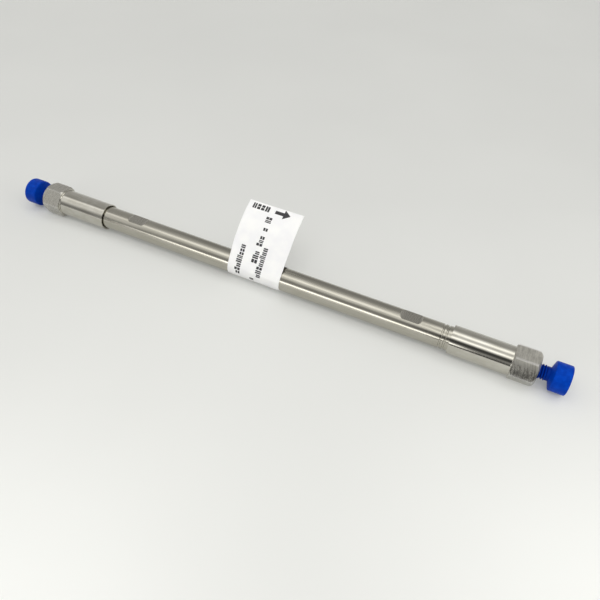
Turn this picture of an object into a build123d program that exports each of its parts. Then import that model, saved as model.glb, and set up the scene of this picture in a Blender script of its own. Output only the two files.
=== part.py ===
from build123d import *
import os
from math import asin, cos, degrees, hypot, radians, sin, sqrt, tan

# A packed column for liquid chromatography, lying on a bench: a stainless tube
# full of packing, with a screwed end fitting and a plastic stop plug at each
# end, and a label wrapped round its middle. Sizes are in millimetres. X runs
# with the flow, from inlet to outlet, Z is up, and the origin is on the axis at
# the middle of the tube.

# Tube
BED_LENGTH = 150.0
BED_DIAMETER = 4.6
TUBE_DIAMETER = 8.0
SPIGOT_DIAMETER = 7.2  # threaded ends, drawn at the thread's outer diameter
SPIGOT_LENGTH = 8.75
SPIGOT_CHAMFER = 0.3
WRENCH_FLAT_WIDTH = 6.8  # across the two flats
WRENCH_FLAT_LENGTH = 4.8
WRENCH_FLAT_END_RADIUS = 1.5  # left by the side of the milling cutter
WRENCH_FLAT_SETBACK = 11.0  # from the mouth of the end fitting
MARK_GROOVE_RADIUS = 0.35  # of the round-nosed tool that turned them
MARK_GROOVE_DEPTH = 0.2
MARK_GROOVE_SETBACKS = (1.5, 2.85)  # from the mouth of the outlet fitting

# End fittings
SLEEVE_DIAMETER = 9.4
SLEEVE_LENGTH = 19.15
HEX_ACROSS_FLATS = 10.0
HEX_LENGTH = 7.75
HEX_OUTER_BEVEL = 1.0
HEX_INNER_BEVEL = 0.5
HEX_ROOT_RADIUS = 0.25
INLET_HEX_TURN = -10.5  # degrees about X; the outlet's hexagon lies on a flat
TUBE_ENGAGEMENT = 10.0  # tube end to mouth of the sleeve
MOUTH_DIAMETER = 8.45
MOUTH_DEPTH = 1.8
MOUTH_CHAMFER = 0.15
PORT_THREAD_DEPTH = 7.5
PORT_LEAD_IN = 0.3
PORT_CONE_DIAMETER = 4.0  # at the wide end of the sealing cone
PORT_CONE_ANGLE = 20.0  # half angle, in degrees
PORT_STUB_DIAMETER = 1.65  # takes the end of a 1/16 inch capillary
PORT_STUB_LENGTH = 2.2
PASSAGE_DIAMETER = 0.5
SPREADER_DEPTH = 0.45  # shallow cone that spreads the flow over the frit

# Frits
FRIT_DIAMETER = 5.6
FRIT_THICKNESS = 1.0

# Stop plugs
PLUG_THREAD_DIAMETER = 4.8
PLUG_THREAD_PITCH = 0.79375  # 32 turns to the inch
PLUG_NECK_DIAMETER = 4.4
PLUG_NECK_LENGTH = 0.8
PLUG_TIP_DIAMETER = 2.0
PLUG_HEAD_DIAMETER = 9.4
PLUG_HEAD_LENGTH = 4.85
PLUG_HEAD_DOME = 0.12
PLUG_HEAD_RIM_RADIUS = 0.35
PLUG_HEAD_END_RADIUS = 0.4
PLUG_SHOULDER_LENGTH = 0.9
PLUG_STEM_SHOWING = 3.05  # hexagon to shoulder with the plug screwed home
OUTLET_PLUG_TURNS_OUT = 0.5

# Label
PAPER_THICKNESS = 0.12
LABEL_WIDTH = 20.25
LABEL_OFFSET = -3.25  # its middle, from the middle of the tube
FLAG_HEIGHT = 22.55  # from the axis to the flag's edge, along the flag
FLAG_STRAIGHT = 11.0  # the rest curls back
FLAG_CURL_RADIUS = 30.0
FLAG_FOLD_RADIUS = 0.8
FLAG_LEAN = 46.0  # degrees back from upright

# Clearances, as a gap on the radius
THREAD_CLEARANCE = 0.05
SEAL_CLEARANCE = 0.05
FRIT_CLEARANCE = 0.02
BED_CLEARANCE = 0.02
PAPER_CLEARANCE = 0.02

# Places along the axis, at the outlet end; the inlet end mirrors them
TUBE_END = BED_LENGTH / 2
SPIGOT_START = TUBE_END - SPIGOT_LENGTH
SLEEVE_MOUTH = TUBE_END - TUBE_ENGAGEMENT
SLEEVE_END = SLEEVE_MOUTH + SLEEVE_LENGTH
HEX_FACE = SLEEVE_END + HEX_LENGTH
FRIT_SEAT = TUBE_END + FRIT_THICKNESS

SPIGOT_BORE_RADIUS = SPIGOT_DIAMETER / 2 + THREAD_CLEARANCE
PORT_RADIUS = PLUG_THREAD_DIAMETER / 2 + THREAD_CLEARANCE
CONE_SLOPE = tan(radians(PORT_CONE_ANGLE))
HEX_CORNER_RADIUS = HEX_ACROSS_FLATS / sqrt(3)


def turned(outline):
    """A solid turned about X from an outline of (place along X, radius) points."""
    face = make_face(Polyline(*outline, close=True))
    return revolve(face, Axis.X)


def bar(radius, start, end):
    """A round bar along X."""
    return turned([(start, 0), (end, 0), (end, radius), (start, radius)])


def at_inlet(piece):
    """The same piece at the other end of the column."""
    return mirror(piece, Plane.YZ)


def wrench_flat_cutter():
    """What the milling cutter takes off the top of the tube at the outlet end."""
    centre = SLEEVE_MOUTH - WRENCH_FLAT_SETBACK - WRENCH_FLAT_LENGTH / 2
    length = WRENCH_FLAT_LENGTH + 2 * WRENCH_FLAT_END_RADIUS
    height = TUBE_DIAMETER
    outline = Pos(centre, WRENCH_FLAT_WIDTH / 2 + height / 2) * Rectangle(length, height)
    lower = outline.vertices().sort_by(Axis.Y)[:2]
    outline = fillet(lower, WRENCH_FLAT_END_RADIUS)
    return extrude(Plane.XZ * outline, TUBE_DIAMETER, both=True)


def mark_groove(setback):
    """What cuts one of the narrow rings turned into the tube near the outlet."""
    height = TUBE_DIAMETER / 2 - MARK_GROOVE_DEPTH + MARK_GROOVE_RADIUS
    section = Pos(SLEEVE_MOUTH - setback, height) * Circle(MARK_GROOVE_RADIUS)
    return revolve(section, Axis.X)


def column_tube():
    """The tube: plain bore, threaded spigots, wrench flats and marker grooves."""
    bore = BED_DIAMETER / 2
    spigot = SPIGOT_DIAMETER / 2
    half = turned([
        (0, bore),
        (TUBE_END, bore),
        (TUBE_END, spigot - SPIGOT_CHAMFER),
        (TUBE_END - SPIGOT_CHAMFER, spigot),
        (SPIGOT_START, spigot),
        (SPIGOT_START, TUBE_DIAMETER / 2),
        (0, TUBE_DIAMETER / 2),
    ])
    tube = half + at_inlet(half)
    top = wrench_flat_cutter()
    bottom = mirror(top, Plane.XY)
    for cutter in (top, bottom, at_inlet(top), at_inlet(bottom)):
        tube -= cutter
    for setback in MARK_GROOVE_SETBACKS:
        tube -= mark_groove(setback)
    return tube


def packed_bed():
    """The packing, which fills the tube from frit to frit."""
    return bar(BED_DIAMETER / 2 - BED_CLEARANCE, -TUBE_END, TUBE_END)


def outlet_frit():
    """The porous disc over the end of the bed."""
    return bar(FRIT_DIAMETER / 2, TUBE_END, FRIT_SEAT)


def outlet_frit_ring():
    """The plastic ring round the frit, squeezed between tube and fitting."""
    hole = FRIT_DIAMETER / 2 + FRIT_CLEARANCE
    rim = SPIGOT_BORE_RADIUS - FRIT_CLEARANCE
    return bar(rim, TUBE_END, FRIT_SEAT) - bar(hole, TUBE_END, FRIT_SEAT)


def bevel(face, bevel_size, inward):
    """A ball that bevels the hexagon's corners at one end, as turning does.

    Its surface passes through the corners a bevel's size behind the face, and
    through the circle on the face a bevel's size inside them.
    """
    radius = hypot(HEX_CORNER_RADIUS, HEX_CORNER_RADIUS - bevel_size)
    return Pos(face + inward * HEX_CORNER_RADIUS, 0, 0) * Rot(0, 90, 0) * Sphere(radius)


def hexagon():
    """The hexagon of an end fitting, one flat down, with both ends bevelled."""
    prism = extrude(Plane.YZ * RegularPolygon(HEX_CORNER_RADIUS, 6), HEX_LENGTH)
    prism = Pos(SLEEVE_END, 0, 0) * prism
    outer = bevel(HEX_FACE, HEX_OUTER_BEVEL, -1)
    inner = bevel(SLEEVE_END, HEX_INNER_BEVEL, 1)
    return prism & outer & inner


def sleeve():
    """The round body of an end fitting, filleted where the hexagon starts."""
    radius = SLEEVE_DIAMETER / 2
    start = SLEEVE_END - HEX_ROOT_RADIUS
    edge = radius + HEX_ROOT_RADIUS
    corner = Polyline(
        (SLEEVE_END, edge),
        (SLEEVE_END + HEX_ROOT_RADIUS, edge),
        (SLEEVE_END + HEX_ROOT_RADIUS, radius / 2),
        (start, radius / 2),
        (start, radius),
    )
    middle = (
        start + HEX_ROOT_RADIUS * sin(radians(45)),
        edge - HEX_ROOT_RADIUS * cos(radians(45)),
    )
    arc = ThreePointArc((start, radius), middle, (SLEEVE_END, edge))
    root = revolve(make_face(corner + arc), Axis.X)
    return bar(radius, SLEEVE_MOUTH, SLEEVE_END + HEX_LENGTH / 2) + root


def sleeve_bore():
    """The space inside the sleeve: chamfered mouth, threaded bore and frit seat."""
    mouth = MOUTH_DIAMETER / 2
    step = SLEEVE_MOUTH + MOUTH_DEPTH
    return turned([
        (SLEEVE_MOUTH, 0),
        (SLEEVE_MOUTH, mouth + MOUTH_CHAMFER),
        (SLEEVE_MOUTH + MOUTH_CHAMFER, mouth),
        (step, mouth),
        (step, SPIGOT_BORE_RADIUS),
        (FRIT_SEAT, SPIGOT_BORE_RADIUS),
        (FRIT_SEAT, 0),
    ])


def port():
    """The fluid port: threaded bore, sealing cone, capillary stub and flow passage."""
    stub = PORT_STUB_DIAMETER / 2
    passage = PASSAGE_DIAMETER / 2
    cone_start = HEX_FACE - PORT_THREAD_DEPTH
    cone_end = cone_start - (PORT_CONE_DIAMETER / 2 - stub) / CONE_SLOPE
    stub_end = cone_end - PORT_STUB_LENGTH
    return turned([
        (HEX_FACE, 0),
        (HEX_FACE, PORT_RADIUS + PORT_LEAD_IN),
        (HEX_FACE - PORT_LEAD_IN, PORT_RADIUS),
        (cone_start, PORT_RADIUS),
        (cone_start, PORT_CONE_DIAMETER / 2),
        (cone_end, stub),
        (stub_end, stub),
        (stub_end, passage),
        (FRIT_SEAT + SPREADER_DEPTH, passage),
        (FRIT_SEAT, BED_DIAMETER / 2),
        (FRIT_SEAT, 0),
    ])


def outlet_end_fitting():
    """One end fitting, turned from hexagon bar."""
    return sleeve() + hexagon() - sleeve_bore() - port()


def plug_outline():
    """Half section of a plug that is screwed home: cone, thread, shoulder and grip."""
    stem = PLUG_THREAD_DIAMETER / 2
    tip = PLUG_TIP_DIAMETER / 2
    neck = PLUG_NECK_DIAMETER / 2
    grip = PLUG_HEAD_DIAMETER / 2
    shoulder = HEX_FACE + PLUG_STEM_SHOWING
    rim = shoulder + PLUG_SHOULDER_LENGTH
    grip_end = rim + PLUG_HEAD_LENGTH
    cone_start = HEX_FACE - PORT_THREAD_DEPTH
    cone_radius = PORT_CONE_DIAMETER / 2 - SEAL_CLEARANCE
    tip_end = cone_start - (cone_radius - tip) / CONE_SLOPE
    dome_radius = (grip ** 2 + PLUG_HEAD_DOME ** 2) / (2 * PLUG_HEAD_DOME)
    dome_centre = grip_end + PLUG_HEAD_DOME - dome_radius
    dome_angle = asin(grip / dome_radius)
    dome_middle = (
        dome_centre + dome_radius * cos(dome_angle / 2),
        dome_radius * sin(dome_angle / 2),
    )
    dome = ThreePointArc((grip_end, grip), dome_middle, (grip_end + PLUG_HEAD_DOME, 0))
    rest = Polyline(
        (grip_end + PLUG_HEAD_DOME, 0),
        (tip_end, 0),
        (tip_end, tip),
        (cone_start, cone_radius),
        (cone_start + stem - cone_radius, stem),
        (shoulder - PLUG_NECK_LENGTH, stem),
        (shoulder - PLUG_NECK_LENGTH, neck),
        (shoulder, neck),
        (rim, grip),
        (grip_end, grip),
    )
    outline = make_face(dome + rest)
    corners = outline.vertices().sort_by(Axis.Y)
    rim_corner, end_corner = corners[-2:].sort_by(Axis.X)
    outline = fillet(rim_corner, PLUG_HEAD_RIM_RADIUS)
    end_corner = outline.vertices().sort_by_distance((grip_end, grip))[0]
    return fillet(end_corner, PLUG_HEAD_END_RADIUS)


def stop_plug(turns_out):
    """A stop plug, some turns out of the outlet port."""
    return Pos(turns_out * PLUG_THREAD_PITCH, 0, 0) * revolve(plug_outline(), Axis.X)


def box_between(y0, y1, z0, z1):
    """A rectangle across the axis, from one corner to the other."""
    return Pos((y0 + y1) / 2, (z0 + z1) / 2) * Rectangle(y1 - y0, z1 - z0)


def label_section():
    """Section of the label, upright: round the tube, with both ends joined as a flag."""
    inner = TUBE_DIAMETER / 2 + PAPER_CLEARANCE
    outer = inner + PAPER_THICKNESS
    back = inner - PAPER_THICKNESS
    fold_outer = FLAG_FOLD_RADIUS + PAPER_THICKNESS
    fold_y = FLAG_FOLD_RADIUS - back
    fold_z = outer + FLAG_FOLD_RADIUS
    curl_angle = degrees((FLAG_HEIGHT - FLAG_STRAIGHT) / FLAG_CURL_RADIUS)
    curl_reach = 2 * FLAG_CURL_RADIUS

    wrap = Circle(outer) - Circle(inner)
    wrap -= box_between(-2 * outer, 0, 0, 2 * outer)
    front = box_between(-outer, -inner, 0, fold_z)
    top = box_between(fold_y, 0, inner, outer)
    fold = Pos(fold_y, fold_z) * (Circle(fold_outer) - Circle(FLAG_FOLD_RADIUS))
    fold &= box_between(fold_y - fold_outer, fold_y, fold_z - fold_outer, fold_z)
    flag = box_between(-outer, -back, fold_z, FLAG_STRAIGHT)
    ring = Circle(FLAG_CURL_RADIUS + PAPER_THICKNESS)
    ring -= Circle(FLAG_CURL_RADIUS - PAPER_THICKNESS)
    wedge = make_face(Polyline(
        (0, 0),
        (-curl_reach, 0),
        (-curl_reach, curl_reach * tan(radians(curl_angle))),
        close=True,
    ))
    curl = Pos(FLAG_CURL_RADIUS - inner, FLAG_STRAIGHT) * (ring & wedge)
    return wrap + front + top + fold + flag + curl


def flow_label():
    """The paper label, its flag leaning back."""
    label = extrude(Plane.YZ * label_section(), LABEL_WIDTH / 2, both=True)
    label = Pos(LABEL_OFFSET, 0, 0) * label
    return label.rotate(Axis.X, -FLAG_LEAN)


def build():
    """Every piece, by name."""
    fitting = outlet_end_fitting()
    frit = outlet_frit()
    ring = outlet_frit_ring()
    return {
        "column_tube": column_tube(),
        "packed_bed": packed_bed(),
        "flow_label": flow_label(),
        "outlet_end_fitting": fitting,
        "inlet_end_fitting": at_inlet(fitting).rotate(Axis.X, INLET_HEX_TURN),
        "outlet_frit": frit,
        "inlet_frit": at_inlet(frit),
        "outlet_frit_ring": ring,
        "inlet_frit_ring": at_inlet(ring),
        "outlet_plug": stop_plug(OUTLET_PLUG_TURNS_OUT),
        "inlet_plug": at_inlet(stop_plug(0)),
    }


os.makedirs("parts", exist_ok=True)
for name, piece in build().items():
    export_step(piece, f"parts/{name}.step")
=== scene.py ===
"""Looks of the HPLC column: camera, floor, light, materials, plug threads and the label.

The column lies along X with its inlet at -X and its outlet at +X. Sizes are in
millimetres unless a comment says otherwise.
"""
import math
import random
from collections import namedtuple

import bpy
from mathutils import Matrix, Vector


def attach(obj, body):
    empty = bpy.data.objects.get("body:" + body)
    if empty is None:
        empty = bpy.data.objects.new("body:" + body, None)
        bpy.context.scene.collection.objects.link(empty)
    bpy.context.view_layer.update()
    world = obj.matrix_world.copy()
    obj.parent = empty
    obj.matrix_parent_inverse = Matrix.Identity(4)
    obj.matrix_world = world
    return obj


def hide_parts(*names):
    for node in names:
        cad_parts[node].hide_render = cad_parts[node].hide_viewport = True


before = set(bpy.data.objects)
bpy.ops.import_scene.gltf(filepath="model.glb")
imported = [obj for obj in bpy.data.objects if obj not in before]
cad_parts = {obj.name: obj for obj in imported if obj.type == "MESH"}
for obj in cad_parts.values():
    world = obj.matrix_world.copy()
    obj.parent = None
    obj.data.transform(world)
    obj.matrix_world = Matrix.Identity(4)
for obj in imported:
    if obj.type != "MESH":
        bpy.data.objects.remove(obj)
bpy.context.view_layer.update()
MM = 0.001

# ---------------------------------------------------------------- camera
# The camera's place and directions are given in a frame turned about the column's
# axis, in which the camera lies straight out from the axis along -Y
VIEW_ELEVATION = math.radians(46.0)
CAMERA_X = 68.63 * MM
CAMERA_DISTANCE = 193.77 * MM
FOCAL_PIXELS = 600.0
FRAME_PIXELS = 600.0
SENSOR_WIDTH = 36.0
CLIP_NEAR, CLIP_FAR = 0.01, 10.0  # metres
LOOK = Vector((-0.26809, 0.96311, -0.02337))
RIGHT = Vector((0.90505, 0.26009, 0.33651))


def unturn(v):
    """From the camera's turned frame to the column's."""
    c, s = math.cos(VIEW_ELEVATION), math.sin(VIEW_ELEVATION)
    return Vector((v[0], v[1] * c + v[2] * s, -v[1] * s + v[2] * c))


def add_object(name, data):
    """A new object in the scene."""
    new = bpy.data.objects.new(name, data)
    bpy.context.scene.collection.objects.link(new)
    return new


def make_camera():
    """The camera that took the photograph, as far as it can be told."""
    data = bpy.data.cameras.new("camera")
    data.sensor_width = SENSOR_WIDTH
    data.lens = SENSOR_WIDTH * FOCAL_PIXELS / FRAME_PIXELS
    data.clip_start = CLIP_NEAR
    data.clip_end = CLIP_FAR
    camera = add_object("camera", data)
    look = unturn(LOOK).normalized()
    right = unturn(RIGHT).normalized()
    up = right.cross(look).normalized()
    right = look.cross(up)
    turn = Matrix((right, up, -look)).transposed().to_4x4()
    place = unturn((CAMERA_X, -CAMERA_DISTANCE, 0))
    camera.matrix_world = Matrix.Translation(place) @ turn
    bpy.context.scene.camera = camera


make_camera()


# ---------------------------------------------------------------- node helpers
class Nodes:
    """A few short ways to add and join nodes in one tree."""

    def __init__(self, tree):
        self.tree = tree

    def add(self, kind, **settings):
        """A new node of a kind."""
        node = self.tree.nodes.new(kind)
        for key, value in settings.items():
            setattr(node, key, value)
        return node

    def put(self, socket, value):
        """Joins an output to a socket, or sets the value of the socket itself."""
        if isinstance(value, bpy.types.NodeSocket):
            self.tree.links.new(value, socket)
        elif isinstance(value, (tuple, list)) and len(value) == 3 and socket.type == "RGBA":
            socket.default_value = (*value, 1)
        else:
            socket.default_value = value

    def put_all(self, node, values):
        """Puts values on a node's inputs, by their names or numbers."""
        for key, value in values.items():
            self.put(node.inputs[key], value)

    def math(self, operation, *values):
        node = self.add("ShaderNodeMath", operation=operation)
        self.put_all(node, dict(enumerate(values)))
        return node.outputs[0]

    def plus(self, first, second):
        return self.math("ADD", first, second)

    def minus(self, first, second):
        return self.math("SUBTRACT", first, second)

    def times(self, first, second):
        return self.math("MULTIPLY", first, second)

    def distance(self, first, second):
        """Length of two legs at a right angle."""
        return self.math("SQRT", self.plus(self.times(first, first), self.times(second, second)))

    def between(self, value, low, high, out_low=0.0, out_high=1.0):
        """A smooth step from out_low to out_high as value goes from low to high."""
        node = self.add("ShaderNodeMapRange", interpolation_type="SMOOTHSTEP")
        self.put_all(node, {"Value": value, "From Min": low, "From Max": high,
                            "To Min": out_low, "To Max": out_high})
        return node.outputs["Result"]

    def window(self, value, low, high, soft):
        """1 between low and high, 0 outside."""
        rise = self.between(value, low - soft, low + soft)
        fall = self.between(value, high - soft, high + soft, 1.0, 0.0)
        return self.times(rise, fall)

    def mix(self, factor, first, second):
        """From the first colour to the second."""
        node = self.add("ShaderNodeMix", data_type="RGBA")
        self.put_all(node, {0: factor, 6: first, 7: second})
        return node.outputs[2]

    def noise(self, vector, scale, detail=2.0, rough=0.5):
        node = self.add("ShaderNodeTexNoise")
        self.put_all(node, {"Vector": vector, "Scale": scale, "Detail": detail,
                            "Roughness": rough})
        return node.outputs["Fac"]

    def grain(self, vector, sizes, detail=3.0, rough=0.6):
        """Noise that is drawn out, with its own size along each axis."""
        return self.noise(self.stretched(vector, sizes), 1.0, detail, rough)

    def cells(self, vector, scale):
        """Distance from the middle of small round cells."""
        node = self.add("ShaderNodeTexVoronoi")
        self.put_all(node, {"Vector": vector, "Scale": scale})
        return node.outputs["Distance"]

    def stretched(self, vector, sizes):
        """The coordinates multiplied axis by axis."""
        node = self.add("ShaderNodeVectorMath", operation="MULTIPLY")
        self.put_all(node, {0: vector, 1: sizes})
        return node.outputs[0]

    def scaled(self, color, factor):
        """A colour times a factor."""
        node = self.add("ShaderNodeVectorMath", operation="SCALE")
        self.put_all(node, {0: color, "Scale": factor})
        return node.outputs[0]

    def joined(self, x, y, z):
        """Three values as one vector."""
        node = self.add("ShaderNodeCombineXYZ")
        self.put_all(node, {0: x, 1: y, 2: z})
        return node.outputs[0]

    def split(self, vector):
        """One vector as three values."""
        node = self.add("ShaderNodeSeparateXYZ")
        self.put(node.inputs[0], vector)
        return node.outputs

    def tones(self, value, stops):
        """Straight runs between (value, level) stops, from the lowest to the highest."""
        low, high = stops[0][0], stops[-1][0]
        ramp = self.add("ShaderNodeValToRGB")
        self.put(ramp.inputs[0], self.math("DIVIDE", self.minus(value, low), high - low))
        elements = ramp.color_ramp.elements
        while len(elements) < len(stops):
            elements.new(0.5)
        for element, (at, level) in zip(elements, stops):
            element.position = (at - low) / (high - low)
            element.color = (level, level, level, 1)
        return ramp.outputs["Color"]

    def bump(self, height, depth, normal=None):
        """The surface's direction over bumps of a depth in millimetres."""
        node = self.add("ShaderNodeBump")
        self.put_all(node, {"Height": height, "Distance": depth * MM})
        if normal is not None:
            self.put(node.inputs["Normal"], normal)
        return node.outputs["Normal"]

    def blend(self, factor, first, second):
        """From the first shader to the second."""
        node = self.add("ShaderNodeMixShader")
        self.put_all(node, {0: factor, 1: first, 2: second})
        return node.outputs[0]


def new_material(name):
    """A material, its helper and its shader."""
    material = bpy.data.materials.new(name)
    material.use_nodes = True
    nodes = Nodes(material.node_tree)
    return material, nodes, material.node_tree.nodes["Principled BSDF"]


Place = namedtuple("Place", "vector x y z along radius")


def place_in_mm(nodes):
    """A place on the object in millimetres.

    It has the coordinates as a vector and apart, the distance along from the
    column's middle to either end, and the radius about the column's axis.
    """
    coords = nodes.add("ShaderNodeTexCoord").outputs["Object"]
    vector = nodes.stretched(coords, (1 / MM, 1 / MM, 1 / MM))
    x, y, z = nodes.split(vector)
    return Place(vector, x, y, z, nodes.math("ABSOLUTE", x), nodes.distance(y, z))


# ---------------------------------------------------------------- steel
# Ranges over which one kind of surface gives way to the next
INLET_TO_OUTLET = (-80.0, 80.0)  # along X, from one end's fitting or plug to the other's
GROUND_RADIUS = (3.93, 3.99)  # below it the tube was cut after grinding
FLATS_END = (57.0, 58.0)
GROOVES_START = (60.0, 61.0)
HEX_START = (84.02, 84.2)
OUTLET_HEX = (80.0, 84.0)
HEX_CORNER = (5.5, 5.68)
TOP_FLAT = (4.4, 4.9)  # height
SIDE_FLAT = (0.0, 4.8)
BORE_EDGE = (3.7, 3.9)

# Threads that are shading only: radii, start, pitch and depth
SPIGOT_THREAD = ((3.45, 3.72), 66.5, 0.75, 0.16)
BORE_THREAD = ((3.55, 3.75), 67.0, 0.75, 0.14)
PORT_PITCH = 0.79375
PORT_THREAD = ((2.3, 2.6), 84.5, PORT_PITCH, 0.16)
THREAD_EDGE = 0.02
THREAD_RUN_IN = 0.2

# Sizes of the noise along each axis, as waves in a millimetre
TUBE_RINGS = (14.0, 0.25, 0.25)
TUBE_STREAKS = (0.09, 3.2, 3.2)
TUBE_CLOUD = (0.12, 0.5, 0.5)
SLEEVE_RINGS = (11.0, 0.2, 0.2)
SLEEVE_CLOUD = (0.25, 0.6, 0.6)
CROSS_SCRATCHES = (0.9, 1.4, 4.5)
ARC_SIZES = (2.2, 5.0, 0.35)  # out from the cutter's centre, round it, and through the flats
RING_NOISE = (0.25, 0.75)
MILLED_NOISE = (0.36, 0.64)

# Pairs of colours or of roughnesses that a noise goes between
TUBE_COLORS = (0.415, 0.40, 0.345), (0.465, 0.448, 0.395)
SLEEVE_COLORS = (0.50, 0.484, 0.43), (0.55, 0.536, 0.485)
MILLED_COLORS = (0.38, 0.37, 0.335), (0.59, 0.575, 0.525)
SINTERED_COLORS = (0.16, 0.155, 0.145), (0.5, 0.485, 0.45)
WRENCH_FLAT_COLOR = (0.41, 0.395, 0.365)
# Painted highlight on the hexagons' corners
CORNER_HIGHLIGHT_COLOR = (0.86, 0.85, 0.82)
TUBE_ROUGH = (0.11, 0.19)
SLEEVE_ROUGH = (0.06, 0.11)
MILLED_ROUGH = (0.12, 0.25)
CUT_ROUGHER = 0.12  # wrench flats and threaded bores
GROOVE_SMOOTHER = 0.06

MILL_CENTRE_X = 71.0
MILL_CENTRE_Z = -2.5
# Painted shade and light on the outlet hexagon's side flats, as colour factors
SIDE_FLAT_SHADING = ((-1.0, 1.0), (0.4, 0.9), (1.2, 0.68), (3.2, 0.70), (4.3, 0.88), (4.8, 1.0),
                   (5.0, 1.1))  # by height


def thread_bump(nodes, at, thread, normal):
    """Rounded thread turns along X, on what lies between two radii beyond a start."""
    radii, start, pitch, depth = thread
    mask = nodes.times(nodes.window(at.radius, *radii, THREAD_EDGE),
                       nodes.between(at.along, start, start + THREAD_RUN_IN))
    phase = nodes.times(at.x, 2 * math.pi / pitch)
    return nodes.bump(nodes.times(nodes.math("SINE", phase), mask), depth, normal)


def tube_steel():
    """Ground tube: fine rings round it, a few long drawn streaks, light stains."""
    material, nodes, shader = new_material("ground_steel")
    at = place_in_mm(nodes)
    rings = nodes.grain(at.vector, TUBE_RINGS)
    streaks = nodes.grain(at.vector, TUBE_STREAKS)
    cloud = nodes.grain(at.vector, TUBE_CLOUD, 2.0, 0.5)
    # Places cut below the ground surface: dull wrench flats, bright marker grooves
    below = nodes.between(at.radius, *GROUND_RADIUS, 1.0, 0.0)
    flat = nodes.times(below, nodes.between(at.along, *FLATS_END, 1.0, 0.0))
    groove = nodes.times(below, nodes.between(at.along, *GROOVES_START))
    stains = nodes.plus(nodes.times(streaks, 0.5), nodes.times(cloud, 0.5))
    color = nodes.mix(nodes.between(stains, 0.36, 0.62), *TUBE_COLORS)
    color = nodes.mix(nodes.times(flat, 0.5), color, WRENCH_FLAT_COLOR)
    rough = nodes.between(rings, *RING_NOISE, *TUBE_ROUGH)
    rough = nodes.plus(rough, nodes.times(flat, CUT_ROUGHER))
    rough = nodes.minus(rough, nodes.times(groove, GROOVE_SMOOTHER))
    normal = nodes.bump(rings, 0.0012)
    normal = nodes.bump(streaks, 0.0022, normal)
    normal = thread_bump(nodes, at, SPIGOT_THREAD, normal)
    nodes.put_all(shader, {"Base Color": color, "Metallic": 1.0, "Roughness": rough,
                           "Normal": normal})
    return material


def fitting_steel():
    """Turned and polished sleeve, milled hexagon with scratches, threaded bores."""
    material, nodes, shader = new_material("turned_steel")
    at = place_in_mm(nodes)
    hexagon = nodes.between(at.along, *HEX_START)
    outlet = nodes.between(at.x, *OUTLET_HEX)
    rings = nodes.grain(at.vector, SLEEVE_RINGS)
    cloud = nodes.grain(at.vector, SLEEVE_CLOUD, 2.0, 0.5)
    # Uneven arcs left by the milling cutter, about a centre beside each hexagon
    dx = nodes.minus(at.along, MILL_CENTRE_X)
    dz = nodes.minus(at.z, MILL_CENTRE_Z)
    arcs = (nodes.distance(dx, dz), nodes.math("ARCTAN2", dz, dx), at.y)
    arcs = nodes.joined(*[nodes.times(*pair) for pair in zip(arcs, ARC_SIZES)])
    swirl = nodes.noise(arcs, 1.0, 3.0, 0.62)
    cross = nodes.grain(at.vector, CROSS_SCRATCHES)
    milled = nodes.plus(nodes.times(swirl, 0.75), nodes.times(cross, 0.25))
    # The inlet's hexagon and the top flats are the smoother ones
    relief = nodes.times(nodes.between(at.x, *INLET_TO_OUTLET, 0.5, 1.0),
                         nodes.between(at.z, *TOP_FLAT, 1.0, 0.65))
    milled = nodes.plus(0.5, nodes.times(relief, nodes.minus(milled, 0.5)))
    wear_and_painted_light = nodes.mix(nodes.between(milled, *MILLED_NOISE), *MILLED_COLORS)
    # Painted shade and light: the outlet's side flats are darker across their middle and a little
    # lighter at the top
    painted_shade_and_light = nodes.scaled(wear_and_painted_light, nodes.tones(at.z, SIDE_FLAT_SHADING))
    wear_and_painted_light = nodes.mix(outlet, wear_and_painted_light, painted_shade_and_light)
    # Painted highlight: the corners between the flats are brighter, more so on the outlet's
    # hexagon
    rubbed_and_highlight = nodes.times(nodes.between(at.radius, *HEX_CORNER),
                         nodes.between(at.x, *INLET_TO_OUTLET, 0.25, 0.6))
    wear_and_painted_light = nodes.mix(rubbed_and_highlight, wear_and_painted_light, CORNER_HIGHLIGHT_COLOR)
    sleeve = nodes.mix(nodes.between(cloud, 0.35, 0.65), *SLEEVE_COLORS)
    color = nodes.mix(hexagon, sleeve, wear_and_painted_light)
    # The outlet's side flats go from smoother at their lower edge to duller at the top
    smooth = nodes.times(outlet, nodes.between(at.z, *SIDE_FLAT, 0.12, -0.12))
    grain = nodes.minus(nodes.between(milled, *MILLED_NOISE, *MILLED_ROUGH), smooth)
    rough = nodes.between(rings, *RING_NOISE, *SLEEVE_ROUGH)
    rough = nodes.plus(rough, nodes.times(hexagon, grain))
    bore = nodes.between(at.radius, *BORE_EDGE, 1.0, 0.0)
    rough = nodes.plus(rough, nodes.times(bore, CUT_ROUGHER))
    normal = nodes.bump(rings, 0.0008)
    normal = nodes.bump(nodes.times(milled, hexagon), 0.010, normal)
    normal = thread_bump(nodes, at, PORT_THREAD, normal)
    normal = thread_bump(nodes, at, BORE_THREAD, normal)
    nodes.put_all(shader, {"Base Color": color, "Metallic": 1.0, "Roughness": rough,
                           "Normal": normal})
    return material


def sintered_steel():
    """Porous frit: fine fused grains with dark pores."""
    material, nodes, shader = new_material("sintered_steel")
    vector = place_in_mm(nodes).vector
    pores = nodes.noise(vector, 22.0, 3.0, 0.7)
    normal = nodes.bump(nodes.cells(vector, 14.0), 0.03)
    nodes.put_all(shader, {
        "Base Color": nodes.mix(nodes.between(pores, 0.35, 0.6), *SINTERED_COLORS),
        "Metallic": 1.0,
        "Roughness": nodes.between(pores, 0.3, 0.7, 0.62, 0.42),
        "Normal": nodes.bump(pores, 0.02, normal)})
    return material


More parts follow.
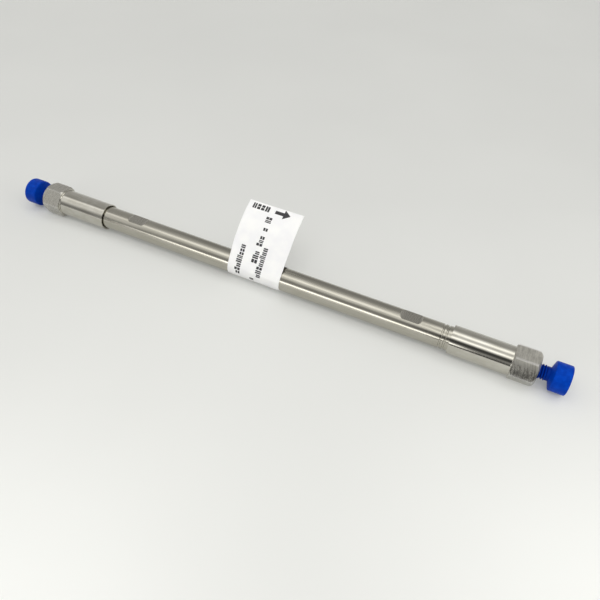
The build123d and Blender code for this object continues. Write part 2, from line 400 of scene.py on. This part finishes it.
# ---------------------------------------------------------------- plastics, packing and paper
BLUES = (0.0, 0.036, 0.36), (0.0, 0.046, 0.42)
RUBBED_BLUE = (0.002, 0.060, 0.50)
# Painted shade in the floor of the plugs' thread
THREAD_SHADE_BLUE = (0.001, 0.006, 0.12)
SHEEN_BLUE = (0.25, 0.62, 1.0)
SEAL_COLORS = (0.72, 0.69, 0.62), (0.80, 0.78, 0.72)
BEAD_COLORS = (0.74, 0.73, 0.70), (0.84, 0.83, 0.80)
PAPER_COLORS = (0.86, 0.86, 0.87), (0.91, 0.91, 0.90)
INK_COLORS = (0.012, 0.012, 0.014), (0.05, 0.05, 0.055)
NOISE_RANGE = (0.3, 0.7)
HEAD_EDGE = (4.45, 4.66)  # radii of a plug
STEM_FLOOR = (2.05, 2.38)
TIP_EDGE = (1.5, 1.9)


def blue_plastic():
    """Satin moulded plastic with a fine pebble and a few rubbed, paler places."""
    material, nodes, shader = new_material("blue_plastic")
    at = place_in_mm(nodes)
    pebble = nodes.noise(at.vector, 9.0, 3.0, 0.6)
    cloud = nodes.noise(at.vector, 0.8)
    rubbed_and_highlight = nodes.times(nodes.between(at.radius, *HEAD_EDGE),
                         nodes.between(cloud, 0.45, 0.75, 0.0, 0.5))
    color = nodes.mix(nodes.between(cloud, *NOISE_RANGE), *BLUES)
    color = nodes.mix(rubbed_and_highlight, color, RUBBED_BLUE)
    # Painted shade: the thread's floor is darker, as less light gets out of it
    groove = nodes.times(nodes.between(at.radius, *STEM_FLOOR, 0.92, 0.0),
                         nodes.between(at.radius, *TIP_EDGE))
    color = nodes.mix(groove, color, THREAD_SHADE_BLUE)
    # The inlet's plug is the darker one
    color = nodes.scaled(color, nodes.between(at.x, *INLET_TO_OUTLET, 0.9, 1.0))
    nodes.put_all(shader, {
        "Base Color": color,
        "Roughness": nodes.between(pebble, *NOISE_RANGE, 0.42, 0.56),
        "Specular IOR Level": 0.14,
        "Specular Tint": SHEEN_BLUE,
        "Normal": nodes.bump(pebble, 0.012)})
    return material


def seal_plastic():
    """Natural, slightly waxy seal ring."""
    material, nodes, shader = new_material("seal_plastic")
    cloud = nodes.noise(place_in_mm(nodes).vector, 2.5, 3.0)
    nodes.put_all(shader, {
        "Base Color": nodes.mix(nodes.between(cloud, *NOISE_RANGE), *SEAL_COLORS),
        "Roughness": nodes.between(cloud, *NOISE_RANGE, 0.35, 0.45),
        "Normal": nodes.bump(cloud, 0.01)})
    return material


def packing():
    """Packed silica beads."""
    material, nodes, shader = new_material("packing")
    vector = place_in_mm(nodes).vector
    cloud = nodes.noise(vector, 3.0, 3.0)
    nodes.put_all(shader, {
        "Base Color": nodes.mix(nodes.between(cloud, *NOISE_RANGE), *BEAD_COLORS),
        "Roughness": nodes.between(cloud, *NOISE_RANGE, 0.85, 0.95),
        "Normal": nodes.bump(nodes.cells(vector, 18.0), 0.02)})
    return material


def label_paper():
    """Coated label stock: near white, faint fibre clouds and a slight sheen."""
    material, nodes, shader = new_material("label_paper")
    vector = place_in_mm(nodes).vector
    fibre = nodes.noise(vector, 6.0, 4.0, 0.65)
    cloud = nodes.noise(vector, 0.22)
    nodes.put_all(shader, {
        "Base Color": nodes.mix(nodes.between(cloud, *NOISE_RANGE), *PAPER_COLORS),
        "Roughness": nodes.between(fibre, *NOISE_RANGE, 0.36, 0.5),
        "Normal": nodes.bump(fibre, 0.004)})
    return material


def print_ink():
    """Black thermal print, a little uneven."""
    material, nodes, shader = new_material("print_ink")
    speck = nodes.noise(place_in_mm(nodes).vector, 7.0, 3.0, 0.6)
    nodes.put_all(shader, {
        "Base Color": nodes.mix(nodes.between(speck, 0.35, 0.75), *INK_COLORS),
        "Roughness": nodes.between(speck, *NOISE_RANGE, 0.4, 0.55)})
    return material


def give(material, *names):
    """Puts one material on CAD nodes."""
    for name in names:
        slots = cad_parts[name].data.materials
        slots.clear()
        slots.append(material)


BLUE = blue_plastic()
PAPER = label_paper()
INK = print_ink()
give(tube_steel(), "column_tube")
give(fitting_steel(), "inlet_end_fitting", "outlet_end_fitting")
give(sintered_steel(), "inlet_frit", "outlet_frit")
give(seal_plastic(), "inlet_frit_ring", "outlet_frit_ring")
give(packing(), "packed_bed")
give(BLUE, "inlet_plug", "outlet_plug")
give(PAPER, "flow_label")


def make_piece(name, verts, faces, material, body, node=None, smooth=True):
    """A mesh piece that rides on a body and may stand for a CAD node."""
    mesh = bpy.data.meshes.new(name)
    mesh.from_pydata([Vector(v) * MM for v in verts], [], faces)
    mesh.validate()
    mesh.update()
    mesh.materials.append(material)
    for polygon in mesh.polygons:
        polygon.use_smooth = smooth
    piece = add_object(name, mesh)
    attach(piece, body)
    if node:
        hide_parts(node)
    return piece


def keep_sharp(piece, degrees):
    """Keeps edges sharper than an angle out of the smooth shading."""
    piece.data.set_sharp_from_angle(angle=math.radians(degrees))


def share(value, start, run):
    """How far a value is through a run, from 0 to 1."""
    return min(max((value - start) / run, 0.0), 1.0)


# ---------------------------------------------------------------- stop plugs
# The same sizes as in the part's source
HEX_FACE = 91.9
STEM = 2.4
THREAD_ROOT = 1.98
NECK = 2.2
NECK_LENGTH = 0.8
TIP = 1.0
CONE_START = HEX_FACE - 7.5
CONE_RADIUS = 1.95
CONE_SLOPE = math.tan(math.radians(20.0))
SHOULDER = HEX_FACE + 3.05
RIM = SHOULDER + 0.9
HEAD = 4.7
HEAD_END = RIM + 4.85
# Sizes that only this mesh has
HEAD_DOME = 0.12
SHOULDER_ROUND = 0.12
RIM_ROUND = 0.35
END_ROUND = 0.4
TIP_BEVEL = 0.06
TIP_RING = 0.55
END_RINGS = (4.0, 3.6, 3.0, 2.4, 1.8, 1.2, 0.85, 0.7)  # radii on the domed end face
# Shallow dimple and nub where the plastic was gated: height over the end's edge, and radius
GATE_MARK = ((0.05, 0.62), (0.02, 0.45), (0.03, 0.3), (0.09, 0.24), (0.1, 0.12))
OUTLET_TURNS_OUT = 0.5
THREAD_STEP = 0.05
THREAD_CREST = 0.12  # flat width at the crest, as a share of the pitch
THREAD_FLOOR = 0.14
THREAD_FADE = 0.45
SEGMENTS = 72
PLUG_SHARP = 50  # degrees between faces


def rounded(before, corner, after, radius, steps):
    """Points of a round of that radius at the corner of an outline."""
    before, corner, after = Vector(before), Vector(corner), Vector(after)
    a = (before - corner).normalized()
    b = (after - corner).normalized()
    half = a.angle(b) / 2
    centre = corner + (a + b).normalized() * (radius / math.sin(half))
    first = corner + a * (radius / math.tan(half)) - centre
    last = corner + b * (radius / math.tan(half)) - centre
    total = first.angle(last)
    out = []
    for i in range(steps + 1):
        t = i / steps
        v = (first * math.sin((1 - t) * total) + last * math.sin(t * total)) / math.sin(total)
        out.append(tuple(centre + v))
    return out


def head_outline():
    """(x, radius) points of a plug from its neck to the middle of its end face.

    Points between the rounds keep the faces short.
    """
    shoulder, rim, edge = (SHOULDER, NECK), (RIM, HEAD), (HEAD_END, HEAD)
    points = [(SHOULDER - NECK_LENGTH, NECK), (SHOULDER - 0.4, NECK), (SHOULDER - 0.1, NECK)]
    points += rounded((SHOULDER - 0.3, NECK), shoulder, rim, SHOULDER_ROUND, 3)
    cone = (SHOULDER + SHOULDER_ROUND,
            NECK + SHOULDER_ROUND * (HEAD - NECK) / (RIM - SHOULDER))
    for i in range(1, 6):
        t = i / 6
        points.append((cone[0] + (RIM - cone[0]) * t * 0.9, cone[1] + (HEAD - cone[1]) * t * 0.9))
    points += rounded(shoulder, rim, edge, RIM_ROUND, 6)
    grip_start, grip_end = RIM + 0.45, HEAD_END - 0.55
    for i in range(1, 12):
        points.append((grip_start + (grip_end - grip_start) * i / 12, HEAD))
    points += rounded(rim, edge, (HEAD_END + HEAD_DOME, 0), END_ROUND, 7)
    points += [(HEAD_END + HEAD_DOME * (1 - (r / HEAD) ** 2), r) for r in END_RINGS]
    points += [(HEAD_END + height, r) for height, r in GATE_MARK]
    return points


def thread_radius(x, angle):
    """Radius of the threaded stem at a place along X and round it."""
    along = (x / PORT_PITCH - angle / (2 * math.pi)) % 1.0
    away = abs(along - 0.5) * 2  # 0 at the crest, 1 in the floor
    depth = share(away, THREAD_CREST, 1 - THREAD_CREST - THREAD_FLOOR)
    fade_in = share(x, CONE_START + 0.45, THREAD_FADE)
    crest = CONE_RADIUS + (STEM - CONE_RADIUS) * fade_in
    fade_out = min(max((SHOULDER - NECK_LENGTH - x) / THREAD_FADE, 0.0), 1.0)
    low = min(NECK + (THREAD_ROOT - NECK) * fade_out, crest)
    # Towards the neck the crest keeps its height longer than the floor does
    top = NECK + (crest - NECK) * min(1.0, fade_out * 1.6) if crest > NECK else crest
    return top + (low - top) * depth


def plug_rings():
    """(x, radius) of each ring of a plug from its tip, without a radius on the thread."""
    tip_end = CONE_START - (CONE_RADIUS - TIP) / CONE_SLOPE
    cone_end = tip_end + TIP_BEVEL
    rings = [(tip_end, TIP_RING), (tip_end, TIP - TIP_BEVEL), (cone_end, TIP)]
    for i in range(1, 9):
        t = i / 8
        rings.append((cone_end + (CONE_START - cone_end) * t, TIP + (CONE_RADIUS - TIP) * t))
    end = SHOULDER - NECK_LENGTH
    count = round((end - CONE_START) / THREAD_STEP)
    rings += [(CONE_START + (end - CONE_START) * i / count, None) for i in range(1, count)]
    return rings + head_outline()


def plug_mesh(sign, shift):
    """A whole plug, facing +X or -X: tip, cone, helical thread, neck and grip."""
    rings = plug_rings()
    verts = []
    for x, plain in rings:
        for k in range(SEGMENTS):
            angle = 2 * math.pi * k / SEGMENTS
            radius = thread_radius(x, angle) if plain is None else plain
            # The inlet's plug is turned end for end, so its thread is right-handed too
            verts.append((sign * (x + shift), radius * math.cos(angle),
                          sign * radius * math.sin(angle)))
    first, last = len(verts), len(verts) + 1
    verts += [(sign * (rings[0][0] + shift), 0, 0), (sign * (rings[-1][0] + shift), 0, 0)]
    faces = []
    for i in range(len(rings) - 1):
        for k in range(SEGMENTS):
            a, b = i * SEGMENTS + k, i * SEGMENTS + (k + 1) % SEGMENTS
            faces.append((a, b, b + SEGMENTS, a + SEGMENTS))
    base = (len(rings) - 1) * SEGMENTS
    for k in range(SEGMENTS):
        n = (k + 1) % SEGMENTS
        faces.append((first, n, k))
        faces.append((last, base + k, base + n))
    return verts, faces


PLUGS = (("inlet_plug_threaded", "inlet_stopper", "inlet_plug", -1, 0),
         ("outlet_plug_threaded", "outlet_stopper", "outlet_plug", 1, OUTLET_TURNS_OUT))
for name, body, node, sign, turns_out in PLUGS:
    verts, faces = plug_mesh(sign, turns_out * PORT_PITCH)
    plug = make_piece(name, verts, faces, BLUE, body, node)
    keep_sharp(plug, PLUG_SHARP)


# ---------------------------------------------------------------- label
LABEL_MIDDLE = -3.25
LABEL_WIDTH = 20.25
PAPER_THICKNESS = 0.12
HALF_PAPER = PAPER_THICKNESS / 2
WRAP_INNER = 4.02
FLAG_HEIGHT = 22.55
FLAG_TRIM = 0.1
FLAG_STRAIGHT = 11.0
FLAG_LEAN = math.radians(46.0)
CURL_RADIUS = 30.0
FOLD_RADIUS = 0.8
COLUMNS, ROWS = 48, 330
PAPER_SHARP = 40  # degrees between faces
# The strip's inlet edge creeps along the column
LABEL_CREEP = 0.75
CREEP_START, CREEP_RUN = 14.0, 11.0
CREASE_HEIGHT = 0.07
CREASE_WIDTH = 0.45
CREASE_AT = FLAG_HEIGHT + 1.9
CREASE_FROM, CREASE_RUN = -8.0, 6.0
# Above SWAY_START the flag sways by a share of its height: bow, front corner and ripple
SWAY_START = 6.0
SWAY = 0.04
SWAY_BOW = 0.10
SWAY_CORNER, SWAY_CORNER_START = 0.16, 0.35
SWAY_RIPPLE, RIPPLES_ACROSS, RIPPLES_UP = 0.035, 2.3, 2.1
# Lengths and places that follow for the middle of the paper
CURL_LENGTH = FLAG_HEIGHT - FLAG_STRAIGHT
WRAP_MIDDLE = WRAP_INNER + HALF_PAPER
WRAP_LENGTH = WRAP_MIDDLE * math.pi * 1.5
FOLD_MIDDLE = FOLD_RADIUS + HALF_PAPER
FOLD_LENGTH = FOLD_MIDDLE * math.pi / 2
FOLD_Y = FOLD_RADIUS - (WRAP_INNER - PAPER_THICKNESS)
FOLD_Z = WRAP_INNER + PAPER_THICKNESS + FOLD_RADIUS
BACK_STRAIGHT = FLAG_STRAIGHT - FOLD_Z
STRIP_LENGTH = (CURL_LENGTH + FLAG_STRAIGHT + WRAP_LENGTH - FOLD_Y + FOLD_LENGTH
                + BACK_STRAIGHT + CURL_LENGTH)


def curled(angle, radius):
    """A place on the flag's curled part."""
    return (CURL_RADIUS - WRAP_INNER - radius * math.cos(angle),
            FLAG_STRAIGHT + radius * math.sin(angle))


def strip_line(s):
    """Middle of the paper at distance s along the strip, from the flag's front edge.

    Gives (y, z) and the outward normal, upright, before the flag leans. The
    strip comes down the front of the flag, goes under and behind the tube, over
    its top, and up the back of the flag.
    """
    if s < CURL_LENGTH:
        angle = (CURL_LENGTH - s) / CURL_RADIUS
        return curled(angle, CURL_RADIUS + HALF_PAPER), (-math.cos(angle), math.sin(angle))
    s -= CURL_LENGTH
    if s < FLAG_STRAIGHT:
        return (-WRAP_MIDDLE, FLAG_STRAIGHT - s), (-1.0, 0.0)
    s -= FLAG_STRAIGHT
    if s < WRAP_LENGTH:
        angle = s / WRAP_MIDDLE
        return ((-WRAP_MIDDLE * math.cos(angle), -WRAP_MIDDLE * math.sin(angle)),
                (-math.cos(angle), -math.sin(angle)))
    s -= WRAP_LENGTH
    if s < -FOLD_Y:
        return (-s, WRAP_MIDDLE), (0.0, 1.0)
    s += FOLD_Y
    if s < FOLD_LENGTH:
        angle = s / FOLD_MIDDLE
        return ((FOLD_Y - FOLD_MIDDLE * math.sin(angle), FOLD_Z - FOLD_MIDDLE * math.cos(angle)),
                (math.sin(angle), math.cos(angle)))
    s -= FOLD_LENGTH
    if s < BACK_STRAIGHT:
        return (-(WRAP_INNER - HALF_PAPER), FOLD_Z + s), (1.0, 0.0)
    s -= BACK_STRAIGHT
    angle = s / CURL_RADIUS
    return curled(angle, CURL_RADIUS - HALF_PAPER), (math.cos(angle), -math.sin(angle))


def flag_sway(x, up):
    """How far the flag bows back from its true curve, by place across and up it."""
    if up <= SWAY_START:
        return 0.0
    t = (up - SWAY_START) / (FLAG_HEIGHT - SWAY_START)
    across = (x - LABEL_MIDDLE) / (LABEL_WIDTH / 2)
    bow = SWAY_BOW * (1 - across * across)
    corner = SWAY_CORNER * max(0.0, -across - SWAY_CORNER_START) ** 2
    ripple = SWAY_RIPPLE * math.sin(RIPPLES_ACROSS * across + RIPPLES_UP * t)
    return -t * t * (bow + corner + ripple + SWAY)


def creep(x, s):
    """How far the strip's inlet edge creeps along the column as it nears the tube."""
    t = share(s, CREEP_START, CREEP_RUN)
    return LABEL_CREEP * t * t * (3 - 2 * t) * (0.5 - (x - LABEL_MIDDLE) / LABEL_WIDTH)


def crease(x, s):
    """Height of the faint crease where the paper bends round the tube."""
    along = share(x, CREASE_FROM, CREASE_RUN)
    return CREASE_HEIGHT * along * math.exp(-((s - CREASE_AT) / CREASE_WIDTH) ** 2)


def flag_up(s):
    """Height along the flag for a place on the strip, or 0 on the wrap."""
    return max(FLAG_HEIGHT - s, FLAG_HEIGHT - (STRIP_LENGTH - s), 0.0)


def lean(x, y, z):
    """Turns the upright label back."""
    c, s = math.cos(FLAG_LEAN), math.sin(FLAG_LEAN)
    return x, y * c + z * s, -y * s + z * c


def on_label(x, s, out):
    """A point of the label: x along the column, s along the strip, out from its middle."""
    (y, z), (ny, nz) = strip_line(s)
    up = flag_up(s)
    sway = flag_sway(x, up)
    # The sway follows the flag's front normal, which points towards -Y
    tilt = max(up - FLAG_STRAIGHT, 0.0) / CURL_RADIUS
    fy, fz = -math.cos(tilt), math.sin(tilt)
    out += crease(x, s)
    return lean(x + creep(x, s), y + ny * out + fy * sway, z + nz * out + fz * sway)


def add_shell(places, across, low, high, verts, faces):
    """A closed thin sheet between two heights from the paper's middle.

    places are (x, s) points in rows of that many across, from the flag's front
    edge along the strip.
    """
    base, layer = len(verts), len(places)
    rows = layer // across
    verts += [on_label(x, s, out) for out in (high, low) for x, s in places]
    for j in range(rows - 1):
        for i in range(across - 1):
            a = base + j * across + i
            faces.append((a, a + across, a + across + 1, a + 1))
            b = a + layer
            faces.append((b, b + 1, b + across + 1, b + across))
    rim = (list(range(across)) + [j * across + across - 1 for j in range(1, rows)]
           + [(rows - 1) * across + i for i in range(across - 2, -1, -1)]
           + [j * across for j in range(rows - 2, 0, -1)])
    for k, place in enumerate(rim):
        a, b = base + place, base + rim[(k + 1) % len(rim)]
        faces.append((a, b, b + layer, a + layer))


def make_label():
    """The whole strip, which is a hair shorter at each end than the flag's full height."""
    length = STRIP_LENGTH - 2 * FLAG_TRIM
    places = [(LABEL_MIDDLE + LABEL_WIDTH * (i / COLUMNS - 0.5), FLAG_TRIM + length * j / ROWS)
              for j in range(ROWS + 1) for i in range(COLUMNS + 1)]
    verts, faces = [], []
    add_shell(places, COLUMNS + 1, -HALF_PAPER, HALF_PAPER, verts, faces)
    label = make_piece("paper_label", verts, faces, PAPER, "column",
                       "flow_label")
    keep_sharp(label, PAPER_SHARP)


make_label()

# ---------------------------------------------------------------- print on the label
INK_LOW = HALF_PAPER - 0.004
INK_HIGH = HALF_PAPER + 0.012
INK_STEP = 0.35
SLIT = 0.16
CORNER_CUT = 0.06
# An arrow that points to the outlet
ARROW_START, ARROW_NECK, ARROW_TIP = -3.1, 0.1, 2.5
ARROW_HEIGHT = 20.6
ARROW_HALF = 0.62
HEAD_HALF = 1.75
TIP_HALF = 0.05
# Sizes of a character's place, as shares of its line's size
CHARACTER_WIDTHS = (0.42, 0.5, 0.56)
CHARACTER_HEIGHTS = (0.74, 0.74, 1.0)
CHARACTER_GAP = 0.13
# Lines: start, characters in each word, place across, size, run along x or s, word gap
LINES = (
    (-11.6, (4,), 19.7, 2.75, "x", 0.55),
    (-3.7, (8,), -8.5, 2.15, "s", 0.55),
    (1.8, (3, 3, 1, 2), -3.0, 2.15, "s", 0.75),
    (-2.6, (8,), -0.45, 2.15, "s", 0.55),
    (-4.7, (1,), -3.0, 2.15, "s", 0.55),
)
SEED = 7
rng = random.Random(SEED)
print_verts, print_faces = [], []


def s_at(height):
    """Place on the strip for a height up the flag's front, down to the wrap below 0."""
    return FLAG_HEIGHT - height


def add_mark(columns):
    """A thin raised mark: columns are (x, s from, s to), cut short enough to follow the paper."""
    rows = max(1, math.ceil(max(s1 - s0 for _, s0, s1 in columns) / INK_STEP))
    places = [(x, s0 + (s1 - s0) * j / rows) for j in range(rows + 1) for x, s0, s1 in columns]
    add_shell(places, len(columns), INK_LOW, INK_HIGH, print_verts, print_faces)


def add_block(x0, x1, s0, s1):
    """A rectangular mark with its corners cut off."""
    add_mark([(x0, s0 + CORNER_CUT, s1 - CORNER_CUT), (x0 + CORNER_CUT, s0, s1),
              (x1 - CORNER_CUT, s0, s1), (x1, s0 + CORNER_CUT, s1 - CORNER_CUT)])


def add_character(x0, x1, s0, s1):
    """One character's place: two strokes side by side, lying either way."""
    if rng.random() < 0.5:
        middle = (x0 + x1) / 2
        add_block(x0, middle - SLIT / 2, s0, s1)
        add_block(middle + SLIT / 2, x1, s0, s1)
    else:
        middle = (s0 + s1) / 2
        add_block(x0, x1, s0, middle - SLIT / 2)
        add_block(x0, x1, middle + SLIT / 2, s1)


def add_arrow():
    """A plain arrow that points to the outlet."""
    neck = (ARROW_NECK, HEAD_HALF)
    tip = (ARROW_TIP, TIP_HALF)
    outline = [(ARROW_START, ARROW_HALF), ((ARROW_START + ARROW_NECK) / 2, ARROW_HALF),
               (ARROW_NECK - 0.02, ARROW_HALF), neck,
               ((neck[0] + tip[0]) / 2, (neck[1] + tip[1]) / 2), tip]
    add_mark([(x, s_at(ARROW_HEIGHT + half), s_at(ARROW_HEIGHT - half)) for x, half in outline])


def add_line(start, words, across, size, run, word_gap):
    """A printed line shown as plain blocks, one for each character of each word.

    run is 'x' along the column or 's' up the flag, and words the lengths of the
    words in characters.
    """
    at = start
    for word in words:
        for _ in range(word):
            length = size * rng.choice(CHARACTER_WIDTHS)
            tall = size * rng.choice(CHARACTER_HEIGHTS)
            if run == "x":
                add_character(at, at + length, s_at(across + tall), s_at(across))
            else:
                add_character(across - tall, across, s_at(at + length), s_at(at))
            at += length + size * CHARACTER_GAP
        at += size * word_gap


add_arrow()
for line in LINES:
    add_line(*line)
make_piece("label_print", print_verts, print_faces, INK, "column", smooth=False)

# ---------------------------------------------------------------- floor
# Where the board touches each hexagon, as (x, z)
FLOOR_OUTLET = (84.65, -5.0)
FLOOR_INLET = (-88.0, -5.44)
FLOOR_SIZE = 1500.0
FLOOR_GAP = 0.01
FLOOR_COLOR = (0.73, 0.736, 0.716)
FLOOR_MOTTLE = (0.985, 1.015)
# Painted light: the board is paler towards the front, its tone set by place along one direction
# on it
OUTWARD = (0.438, -0.899)
FLOOR_LIGHT_TONES = ((-240, 0.84), (-120, 0.86), (-50, 0.895), (0, 0.955), (50, 0.985), (100, 1.05))
FLOOR_MIDDLE = 10.0  # the place across that direction where it pales least
FLOOR_POOL_LIGHT = 0.16
POOL_ACROSS = (0.0, 80.0)
POOL_OUTWARD = (20.0, 110.0)
PALE_SHARE = 0.15
PALE_COLOR = (0.97, 0.98, 0.95)


def in_metres(places):
    """Places in millimetres as metres."""
    return [place * MM for place in places]


def floor_material():
    """Smooth pale board with the faintest mottle, and painted light that makes it paler towards
    the front.
    """
    material, nodes, shader = new_material("floor")
    coords = nodes.add("ShaderNodeTexCoord").outputs["Object"]
    cloud = nodes.noise(coords, 9.0, 3.0)
    x, y, _ = nodes.split(coords)
    out = nodes.plus(nodes.times(x, OUTWARD[0]), nodes.times(y, OUTWARD[1]))
    side = nodes.plus(nodes.times(x, -OUTWARD[1]), nodes.times(y, OUTWARD[0]))
    painted_light_tone = nodes.tones(out, [(place * MM, level) for place, level in FLOOR_LIGHT_TONES])
    away = nodes.math("ABSOLUTE", nodes.minus(side, FLOOR_MIDDLE * MM))
    # Painted light: a paler stretch towards the front, more so away from the middle
    edge = nodes.times(nodes.between(away, *in_metres(POOL_ACROSS)),
                       nodes.between(out, *in_metres(POOL_OUTWARD), 0.0, FLOOR_POOL_LIGHT))
    mottle = nodes.between(cloud, *NOISE_RANGE, *FLOOR_MOTTLE)
    painted_light_tone = nodes.times(nodes.plus(painted_light_tone, edge), mottle)
    nodes.put_all(shader, {"Base Color": nodes.scaled(FLOOR_COLOR, painted_light_tone), "Roughness": 0.6,
                           "Specular IOR Level": 0.1})
    # To the eye and in the steel the board is a little paler than lamps make it
    path = nodes.add("ShaderNodeLightPath").outputs
    seen = nodes.math("MAXIMUM", path["Is Camera Ray"], path["Is Glossy Ray"])
    pale = nodes.add("ShaderNodeEmission")
    nodes.put(pale.inputs["Color"], nodes.scaled(PALE_COLOR, painted_light_tone))
    both = nodes.blend(nodes.times(seen, PALE_SHARE), shader.outputs[0], pale.outputs[0])
    nodes.put(material.node_tree.nodes["Material Output"].inputs["Surface"], both)
    return material


def make_floor():
    """A plane through the outlet hexagon's flat and the inlet hexagon's lowest corner."""
    slope = (FLOOR_OUTLET[1] - FLOOR_INLET[1]) / (FLOOR_OUTLET[0] - FLOOR_INLET[0])
    middle = FLOOR_OUTLET[1] - slope * FLOOR_OUTLET[0] - FLOOR_GAP
    corners = [(sx * FLOOR_SIZE, sy * FLOOR_SIZE, middle + slope * sx * FLOOR_SIZE)
               for sx, sy in ((-1, -1), (1, -1), (1, 1), (-1, 1))]
    mesh = bpy.data.meshes.new("floor")
    mesh.from_pydata([Vector(c) * MM for c in corners], [], [(0, 1, 2, 3)])
    mesh.materials.append(floor_material())
    floor = add_object("floor", mesh)


make_floor()

# ---------------------------------------------------------------- light
# The room by direction: degrees up from the front horizon, over the top and down
# to the back horizon, with the light that comes from there. It differs towards
# the outlet's side, in front of the middle, and towards the inlet's side.
ROOM_OUTLET = (
    (0, 0.07), (4, 0.11), (10, 0.11), (16, 0.21), (22, 0.28), (30, 0.08), (41, 0.05), (47, 0.12),
    (52, 0.50), (58, 1.18), (64, 1.78), (69, 1.50), (74, 0.90), (84, 0.62), (90, 0.92),
    (95, 1.42), (102, 1.72), (108, 1.36), (114, 0.88), (124, 0.46), (134, 0.36), (150, 0.40),
    (180, 0.52),
)
ROOM_MIDDLE = (
    (0, 0.95), (5, 0.92), (9, 1.45), (12, 2.95), (15, 3.20), (18, 2.05), (22, 0.70), (27, 0.36),
    (33, 0.30), (40, 0.28), (48, 0.42), (58, 0.74), (66, 1.14), (75, 1.50), (83, 1.45),
    (93, 0.98), (102, 0.64), (112, 0.48), (124, 0.38), (134, 0.32), (150, 0.29), (180, 0.38),
)
ROOM_INLET = (
    (0, 0.52), (3, 0.45), (11, 0.20), (18, 0.21), (28, 0.36), (36, 0.60), (46, 0.84),
    (66, 0.82), (74, 0.92), (81, 1.16), (88, 0.72), (97, 0.34), (106, 0.38), (120, 0.42),
    (162, 0.46), (180, 0.50),
)
ROOM_LEVEL = 1.2
TO_MIDDLE = (-0.59, -0.43)  # parts of X where the inlet's side gives way to the middle
TO_OUTLET = (-0.10, -0.03)
LOW_STRIP = (8.5, 25.0, 2.0)  # degrees: a strip that reaches further that way
LOW_STRIP_REACH = 0.056
ROOM_TINT = (1.0, 0.992, 0.968)
WALL_COLOR = (0.66, 0.67, 0.64)
FILL_WATTS = 6.0
FILL_SIZE, FILL_DISTANCE = 1.2, 1.6  # metres
FILL_FROM = (0.1, -1.0, 0.1)  # in the camera's turned frame


def make_world():
    """The room as lamps and steel see it, with a plain pale wall for the eye."""
    world = bpy.data.worlds.new("room")
    bpy.context.scene.world = world
    world.use_nodes = True
    nodes = Nodes(world.node_tree)
    background = world.node_tree.nodes["Background"]
    x, y, z = nodes.split(nodes.add("ShaderNodeTexCoord").outputs["Generated"])
    angle = nodes.math("ARCTAN2", z, nodes.times(y, -1.0))
    degrees = nodes.times(angle, 180.0 / math.pi)
    light = nodes.mix(nodes.between(x, *TO_MIDDLE), nodes.tones(degrees, ROOM_INLET),
                      nodes.tones(degrees, ROOM_MIDDLE))
    reach = nodes.minus(x, nodes.times(nodes.window(degrees, *LOW_STRIP), LOW_STRIP_REACH))
    light = nodes.mix(nodes.between(reach, *TO_OUTLET), light,
                      nodes.tones(degrees, ROOM_OUTLET))
    nodes.put_all(background, {"Color": nodes.stretched(light, ROOM_TINT),
                               "Strength": ROOM_LEVEL})
    wall = nodes.add("ShaderNodeBackground")
    nodes.put(wall.inputs["Color"], WALL_COLOR)
    eye = nodes.add("ShaderNodeLightPath").outputs["Is Camera Ray"]
    both = nodes.blend(eye, background.outputs[0], wall.outputs[0])
    nodes.put(world.node_tree.nodes["World Output"].inputs["Surface"], both)


def make_fill():
    """A wide soft lamp behind the camera, which polished metal doesn't mirror."""
    data = bpy.data.lights.new("fill", "AREA")
    data.shape = "DISK"
    data.size = FILL_SIZE
    data.energy = FILL_WATTS
    lamp = add_object("fill", data)
    lamp.visible_glossy = False
    away = unturn(FILL_FROM).normalized()
    lamp.location = away * FILL_DISTANCE
    lamp.rotation_mode = "QUATERNION"
    lamp.rotation_quaternion = (-away).to_track_quat("-Z", "Y")


make_fill()
make_world()
bpy.context.scene.view_settings.view_transform = "Standard"
